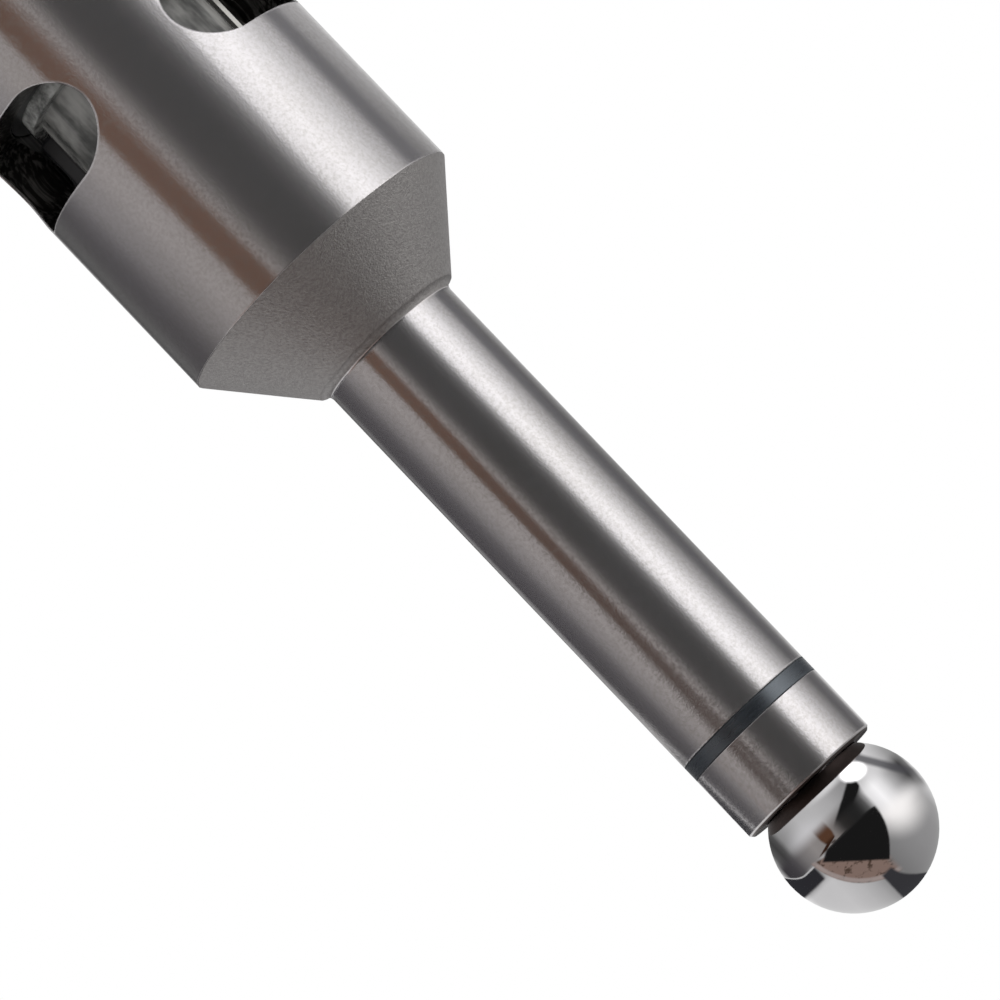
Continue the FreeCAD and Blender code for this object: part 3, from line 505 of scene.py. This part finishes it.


# Seat collar: a hardened ring ground together with the tube. Its sharp bore is the seat that the
# ball is pulled into. Its end face is painted dark inside a bright ground lip: painted shade of the
# gap between collar and ball.
collar_finish, bench = new_finish("collar_ground_steel")
place = bench.place()
ground_height, ground_rough = ground_surface(bench, place)
radius, height = bench.from_axis(place)
collar_face = -0.0964
lip_radius = 0.00472
# Painted shade: the end face inside the lip is coloured dark, for the shade above the ball.
painted_face_shade = bench.step(height, collar_face + 0.00014, collar_face + 0.00008)
painted_face_shade = painted_face_shade * bench.step(radius, lip_radius, lip_radius - 0.00006)
ground_colour = stained(bench, place, (0.785, 0.76, 0.775), (0.645, 0.615, 0.605))
bench.finish(bench.add("ShaderNodeBsdfPrincipled", None, {
    "Base Color": bench.mix(painted_face_shade, ground_colour, (0.07, 0.055, 0.05)), "Metallic": lustre,
    "Roughness": bench.blend(painted_face_shade, ground_rough, 0.4),
    "Normal": bench.bump(ground_height, ground_relief, bench.rounded(0.00006))}))
dress(collar_finish, "seat_collar")


# Contact ball: a bearing ball of hard chromium steel, lapped to a mirror. The stud screwed into
# its top has the eye that the swivel's ring passes through.
ball_finish, bench = new_finish("ball_lapped_steel")
place = bench.place()
haze = bench.noise(place, 420, 4, 0.6)
scuffs = bench.noise(place, (2600, 500, 1500), 4, 0.7)
bench.finish(bench.add("ShaderNodeBsdfPrincipled", None, {
    "Base Color": bench.mix(haze, (0.70, 0.69, 0.70), (0.76, 0.75, 0.76)), "Metallic": 1.0,
    "Roughness": 0.03 + bench.step(haze, 0.4, 0.8) * 0.05 + bench.step(scuffs, 0.6, 0.8) * 0.06,
    "Normal": bench.bump(haze, 0.000004)}))
dress(ball_finish, "contact_ball")


def turned_metal(name, dark, bright, roughness, lines=(350, 350, 5200), depth=0.000006):
    """Small turned or drawn metal part, with lines round its axis and a little tarnish."""
    material, bench = new_finish(name)
    place = bench.place()
    tool_lines = bench.noise(place, lines, 3, 0.6)
    tarnish = bench.noise(place, 300, 3)
    bench.finish(bench.add("ShaderNodeBsdfPrincipled", None, {
        "Base Color": bench.mix(tool_lines * 0.6 + tarnish * 0.4, dark, bright), "Metallic": 1.0,
        "Roughness": roughness + tool_lines * 0.12, "Normal": bench.bump(tool_lines, depth)}))
    return material


stud_finish = turned_metal("bright_turned_steel", (0.50, 0.49, 0.48), (0.68, 0.67, 0.66), 0.18)
dress(stud_finish, "ball_stud", "swivel_ring", "rod_washer")


# Return spring: about fifteen turns of drawn spring wire, wound close. It is screwed onto the
# anchor rod at its top and the plug at its foot, seats the ball, and stretches when the ball is
# pulled.
def wind_wire(name, mean_radius, wire, foot, runs, material):
    """Round wire wound about the axis in runs, each of so many turns at one pitch."""
    shape = bmesh.new()
    section_sides = 10
    steps_per_turn = 28
    upright = Matrix.Rotation(math.pi / 2, 4, "X")
    start = Matrix.Translation((mean_radius, 0, foot + wire / 2)) @ upright
    bmesh.ops.create_circle(shape, segments=section_sides, radius=wire / 2, matrix=start)
    loop = shape.verts[:] + shape.edges[:]
    for turns, pitch in runs:
        steps = round(steps_per_turn * turns)
        spun = bmesh.ops.spin(shape, geom=loop, axis=(0, 0, 1), cent=(0, 0, 0),
                              dvec=(0, 0, pitch * turns / steps), angle=math.tau * turns,
                              steps=steps)
        loop = spun["geom_last"]
    open_edges = [edge for edge in shape.edges if edge.is_boundary]
    bmesh.ops.holes_fill(shape, edges=open_edges, sides=section_sides)
    bmesh.ops.recalc_face_normals(shape, faces=shape.faces)
    for face in shape.faces:
        face.smooth = len(face.verts) == 4
    return make_object(name, shape, material)


along_wire = (2500, 2500, 900)
wire_finish = turned_metal("drawn_spring_wire", (0.42, 0.41, 0.40), (0.60, 0.59, 0.58), 0.22,
                           along_wire)
spring_foot = -0.089266
spring_top = -0.076326
spring_wire = 0.0005
spring_radius = 0.0019
spring_turns = 15
spring_pitch = (spring_top - spring_foot - spring_wire) / spring_turns
return_coil = wind_wire("return_coil", spring_radius, spring_wire, spring_foot,
                        [(spring_turns, spring_pitch)], wire_finish)
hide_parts("return_spring")
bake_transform(return_coil)


# Anchor rod: a brass rod that carries the spring's upper end and takes the ball's contact up to
# the board. It hangs by a nut and washer in an insulating bush, with a liner between the spring
# and the tube.
brass_finish = turned_metal("turned_brass", (0.56, 0.38, 0.15), (0.80, 0.60, 0.29), 0.22)
dress(brass_finish, "anchor_rod", "rod_nut", "spring_plug", "cap_contact")


def moulded_plastic(name, dark, bright, roughness, grain=2500, depth=0.000008):
    """Moulded plastic with the fine texture of its tool and faint flow marks."""
    material, bench = new_finish(name)
    place = bench.place()
    texture = bench.noise(place, grain, 3, 0.6)
    flow = bench.noise(place, (120, 120, 40), 3)
    bench.finish(bench.add("ShaderNodeBsdfPrincipled", None, {
        "Base Color": bench.mix(flow, dark, bright), "Roughness": roughness + texture * 0.12,
        "Normal": bench.bump(texture, depth)}))
    return material


black_finish = moulded_plastic("black_moulding", (0.010, 0.010, 0.011), (0.022, 0.022, 0.024), 0.30)
dress(black_finish, "tube_liner", "lamp_carrier", "battery_sleeve")


# Indicator: a small round board of glass laminate in a moulded carrier, with the lamp's leads and
# a resistor soldered to it.
lead_offset = 0.00127
board_foot = -0.043848
board_top = -0.042648
board_finish, bench = new_finish("green_laminate")
place = bench.place()
to_x, to_y = bench.split(place)[:2]
weave = bench.add("ShaderNodeTexWave", {"wave_type": "BANDS", "bands_direction": "X"},
                  {"Vector": place, "Scale": 700.0, "Distortion": 0.4})
from_lead = to_x.math("ABSOLUTE") - lead_offset
pad_reach = (from_lead.math("POWER", 2) + to_y * to_y).math("SQRT")
from_track = (to_y - to_x.math("ABSOLUTE") * 0.9 - 0.0012).math("ABSOLUTE")
track = bench.step(from_track, 0.0004, 0.0003)
copper = bench.step(pad_reach, 0.0010, 0.0009).math("MAXIMUM", track)
laminate = bench.mix(weave, (0.015, 0.10, 0.045), (0.025, 0.15, 0.065))
bench.finish(bench.add("ShaderNodeBsdfPrincipled", None, {
    "Base Color": bench.mix(copper, laminate, (0.42, 0.40, 0.34)), "Metallic": copper,
    "Roughness": 0.34 + weave * 0.1, "Normal": bench.bump(copper + weave * 0.2, 0.00003)}))
dress(board_finish, "circuit_board")

resistor_finish, bench = new_finish("resistor_chip")
place = bench.place()
to_x = bench.split(place)[0]
end_cap = 0.00114
tinned = bench.step(to_x.math("ABSOLUTE"), end_cap - 0.00002, end_cap + 0.00002)
fired = bench.noise(place, 4000, 3)
glaze = bench.mix(fired, (0.012, 0.012, 0.014), (0.03, 0.03, 0.034))
bench.finish(bench.add("ShaderNodeBsdfPrincipled", None, {
    "Base Color": bench.mix(tinned, glaze, (0.6, 0.6, 0.58)), "Metallic": tinned,
    "Roughness": 0.3 + fired * 0.15, "Normal": bench.bump(fired, 0.00001)}))
dress(resistor_finish, "resistor")

lamp_finish, bench = new_finish("red_lamp_resin")
place = bench.place()
height = bench.split(place)[2]
leads = bench.step(height, board_top + 0.00002, board_top - 0.00002)
mist = bench.noise(place, 700, 3)
resin = bench.mix(mist, (0.50, 0.020, 0.016), (0.68, 0.035, 0.028))
bench.finish(bench.add("ShaderNodeBsdfPrincipled", None, {
    "Base Color": bench.mix(leads, resin, (0.62, 0.61, 0.59)), "Metallic": leads,
    "Roughness": 0.12 + mist * 0.1, "Coat Weight": 0.5, "Normal": bench.bump(mist, 0.00001)}))
dress(lamp_finish, "lamp")

solder_finish = turned_metal("solder", (0.52, 0.52, 0.51), (0.70, 0.70, 0.69), 0.20, 1500,
                             0.00001)
solder_shape = bmesh.new()
solder_height = 0.00050
solder_tip = 0.00030
solder_foot = 0.00080
solder_middle = board_foot - 0.00024
for side_sign in (-1, 1):
    joint_place = Matrix.Translation((side_sign * lead_offset, 0, solder_middle))
    bmesh.ops.create_cone(solder_shape, cap_ends=True, segments=20, radius1=solder_tip,
                          radius2=solder_foot, depth=solder_height, matrix=joint_place)
rims = [edge for edge in solder_shape.edges
        if abs(edge.verts[0].co.z - edge.verts[1].co.z) < solder_height / 2]
bmesh.ops.bevel(solder_shape, geom=rims, offset=0.00012, segments=3, profile=0.5,
                affect="EDGES", material=-1)
for face in solder_shape.faces:
    face.smooth = True
solder = make_object("solder_joints", solder_shape, solder_finish)
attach(solder, "barrel")


# Light guide: a cup of frosted acrylic over the lamp. Its satin wall and milky flange show in the
# windows, and spread the lamp's light to all three. Both are coloured with a dark grey mottle: the
# acrylic's own grey, with painted shade from inside the windows and painted glints.
guide_finish, bench = new_finish("frosted_acrylic")
place = bench.place()
height = bench.split(place)[2]
flange_foot = -0.0369
flange = bench.step(height, flange_foot - 0.0001, flange_foot + 0.0001)
frost = bench.noise(place, 3200, 4, 0.6)
streaks = bench.noise(place, (1100, 1100, 45), 2)
mottle = bench.noise(place, (650, 650, 400), 3)
# Painted shade and glints: the mottle darkens wall and flange for the shade in the windows and
# lightens them in spots.
wall_shade_and_glints = bench.step(streaks * 0.35 + mottle * 0.65, 0.36, 0.66)
wall_tone = bench.mix(wall_shade_and_glints, (0.05, 0.05, 0.048), (0.25, 0.245, 0.235))
flange_shade_and_glints = bench.step(frost * 0.3 + mottle * 0.7, 0.36, 0.64)
flange_tone = bench.mix(flange_shade_and_glints, (0.08, 0.08, 0.077), (0.34, 0.34, 0.33))
guide_relief = bench.bump(frost * 0.3 + streaks + mottle * 6, 0.000012, bench.rounded(0.00025))
bench.finish(bench.add("ShaderNodeBsdfPrincipled", None, {
    "Base Color": bench.mix(flange, wall_tone, flange_tone), "Roughness": 0.16 + frost * 0.16,
    "Normal": guide_relief}))
dress(guide_finish, "light_guide")

# Two black ribs of the carrier stand beside the guide and hold it under its flange
rib_shape = bmesh.new()
rib_foot = -0.04266
rib_top = -0.03692
rib_inner = 0.00632
rib_outer = 0.00755
rib_width = 0.0020
rib_size = (rib_outer - rib_inner, rib_width, rib_top - rib_foot)
rib_middle = ((rib_inner + rib_outer) / 2, 0, (rib_top + rib_foot) / 2)
for rib_azimuth in (-90, 150):
    rib = bmesh.ops.create_cube(rib_shape, size=1.0)["verts"]
    rib_turn = Matrix.Rotation(math.radians(rib_azimuth), 3, "Z")
    bmesh.ops.scale(rib_shape, verts=rib, vec=rib_size)
    bmesh.ops.translate(rib_shape, verts=rib, vec=rib_middle)
    bmesh.ops.rotate(rib_shape, verts=rib, cent=(0, 0, 0), matrix=rib_turn)
bmesh.ops.bevel(rib_shape, geom=rib_shape.edges[:], offset=0.00025, segments=3, profile=0.5,
                affect="EDGES", material=-1)
ribs = make_object("guide_ribs", rib_shape, black_finish)
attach(ribs, "barrel")


# Cells and their contacts: two N cells in plain jackets stand on a tinned disc, whose strip runs
# down to the board.
contact_finish = turned_metal("tinned_strip", (0.48, 0.47, 0.44), (0.66, 0.65, 0.62), 0.22,
                              (600, 600, 2500))
dress(contact_finish, "front_contact")

jacket_finish, bench = new_finish("cell_jacket")
place = bench.place()
radius, height = bench.from_axis(place)
cell_length = 0.0302
cell_foot = -0.034498
jacket_edge = 0.0058
gold_from = 0.74
share = ((height - cell_foot) / cell_length).math("FRACT")
bare = bench.step(radius, jacket_edge + 0.00005, jacket_edge - 0.00005)
gold_end = bench.step(share, gold_from, gold_from + 0.005)
printed = bench.mix(gold_end, (0.020, 0.021, 0.024), (0.50, 0.36, 0.16))
scratches = bench.noise(place, (900, 900, 200), 3)
shell = bench.mix(scratches, (0.50, 0.50, 0.49), (0.68, 0.68, 0.67))
bench.finish(bench.add("ShaderNodeBsdfPrincipled", None, {
    "Base Color": bench.mix(bare, printed, shell), "Metallic": bare.math("MAXIMUM", gold_end * 0.8),
    "Roughness": 0.24 + scratches * 0.15, "Normal": bench.bump(scratches, 0.000008)}))
dress(jacket_finish, "front_cell", "rear_cell")


# Battery spring: five turns of plated wire with its end turns closed, standing on the rear cell
# and pressed by the cap's contact disc. It lengthens when the cap unscrews.
battery_foot = 0.025932
battery_top = 0.033970
battery_wire = 0.0006
battery_radius = 0.0042
battery_rise = battery_top - battery_foot - battery_wire
end_pitch = battery_wire * 1.05
free_turns = 3
free_pitch = (battery_rise - 2 * end_pitch) / free_turns
plated_finish = turned_metal("plated_wire", (0.55, 0.54, 0.50), (0.74, 0.73, 0.69), 0.16,
                             along_wire)
battery_runs = [(1, end_pitch), (free_turns, free_pitch), (1, end_pitch)]
battery_coil = wind_wire("battery_coil", battery_radius, battery_wire, battery_foot,
                         battery_runs, plated_finish)
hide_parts("battery_spring")
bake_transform(battery_coil)


# Battery cap: turned steel with a fine straight knurl round its head and a coin slot across it.
# It screws into the barrel's mouth, presses on the cells and squeezes a rubber ring.
cap_finish = turned_metal("turned_cap_steel", (0.54, 0.53, 0.52), (0.72, 0.71, 0.70), 0.18)
cap_shape = bmesh.new()
cap_shape.from_mesh(bpy.data.objects["battery_cap"].data)
weld_distance = 0.000002
bmesh.ops.remove_doubles(cap_shape, verts=cap_shape.verts, dist=weld_distance)
thread_root = 0.00795
thread_crest = 0.00844
thread_foot = 0.0410
slack = 0.00003
for vert in cap_shape.verts:
    if abs(vert.co.xy.length - thread_crest) < slack:
        vert.co.xy *= thread_root / vert.co.xy.length
crease = math.radians(30)
for edge in cap_shape.edges:
    edge.smooth = edge.is_manifold and edge.calc_face_angle() < crease
cap_body = make_object("cap_body", cap_shape, cap_finish)
cap_body.data.attributes.remove(cap_body.data.attributes["custom_normal"])
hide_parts("battery_cap")
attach(cap_body, "cap")
make_ridge("cap_thread", thread_root, thread_crest, thread_foot, cap_finish, "cap")

# The knurl is a ring of six corners spun round the head, with every other outer corner pulled out
# to a crest. It dips just below the coin slot's floor where the slot crosses it.
knurl_steps = 192
knurl_inner = 0.0093
knurl_chamfer = 0.00955
knurl_valley = 0.00968
knurl_crest = 0.00985
knurl_foot = 0.05040
knurl_top = 0.05390
chamfer_height = 0.0002
slot_half = 0.001
slot_floor = 0.05325
knurl_corners = [(knurl_inner, knurl_foot), (knurl_chamfer, knurl_foot),
                 (knurl_valley, knurl_foot + chamfer_height),
                 (knurl_valley, knurl_top - chamfer_height),
                 (knurl_chamfer, knurl_top), (knurl_inner, knurl_top)]
knurl_shape = bmesh.new()
corners = [knurl_shape.verts.new((distance, 0, level)) for distance, level in knurl_corners]
edges = [knurl_shape.edges.new((corners[index - 1], corner))
         for index, corner in enumerate(corners)]
bmesh.ops.spin(knurl_shape, geom=corners + edges, axis=(0, 0, 1), cent=(0, 0, 0),
               angle=math.tau, steps=knurl_steps, use_merge=True)
for vert in knurl_shape.verts:
    step_index = round(math.atan2(vert.co.y, vert.co.x) / math.tau * knurl_steps)
    if step_index % 2 and abs(vert.co.xy.length - knurl_valley) < 0.00001:
        vert.co.xy *= knurl_crest / knurl_valley
    if abs(vert.co.x) < slot_half:
        vert.co.z = min(vert.co.z, slot_floor - slack)
bmesh.ops.recalc_face_normals(knurl_shape, faces=knurl_shape.faces)
knurl = make_object("cap_knurl", knurl_shape, cap_finish)
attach(knurl, "cap")

seal_finish = moulded_plastic("nitrile_rubber", (0.012, 0.012, 0.012), (0.024, 0.024, 0.024), 0.50,
                              3000, 0.00001)
dress(seal_finish, "cap_seal")
